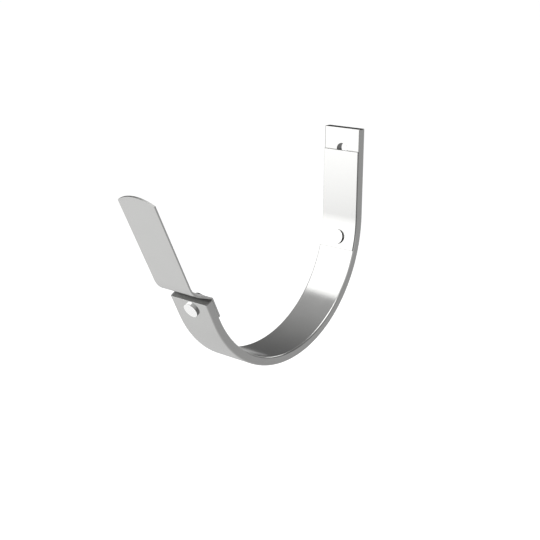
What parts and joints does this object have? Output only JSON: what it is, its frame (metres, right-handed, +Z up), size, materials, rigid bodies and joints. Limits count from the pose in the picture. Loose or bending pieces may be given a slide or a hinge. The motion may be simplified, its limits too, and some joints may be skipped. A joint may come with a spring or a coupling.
{
  "type": "gutter bracket",
  "caption": "Half-round gutter bracket for a fascia: a bent flat bar with a fixing hole, and a riveted sheet clip at each end that folds over the gutter's edge.",
  "frame": {"origin": "middle of the fixing hole, on the wall side of the back leg", "axes": "+X along the gutter, +Y to the wall and square to the back leg, +Z up along the back leg"},
  "size_m": [0.025, 0.1718, 0.1215],
  "materials": {
    "bar_steel": "satin, bare metal",
    "clip_sheet": "satin, bare sheet metal",
    "rivet_steel": "satin, bare metal"
  },
  "bodies": {
    "root": {"bracket_bar": "bar_steel", "front_clip": "clip_sheet", "rear_clip": "clip_sheet", "front_rivet": "rivet_steel", "rear_rivet": "rivet_steel"}
  },
  "joints": []
}
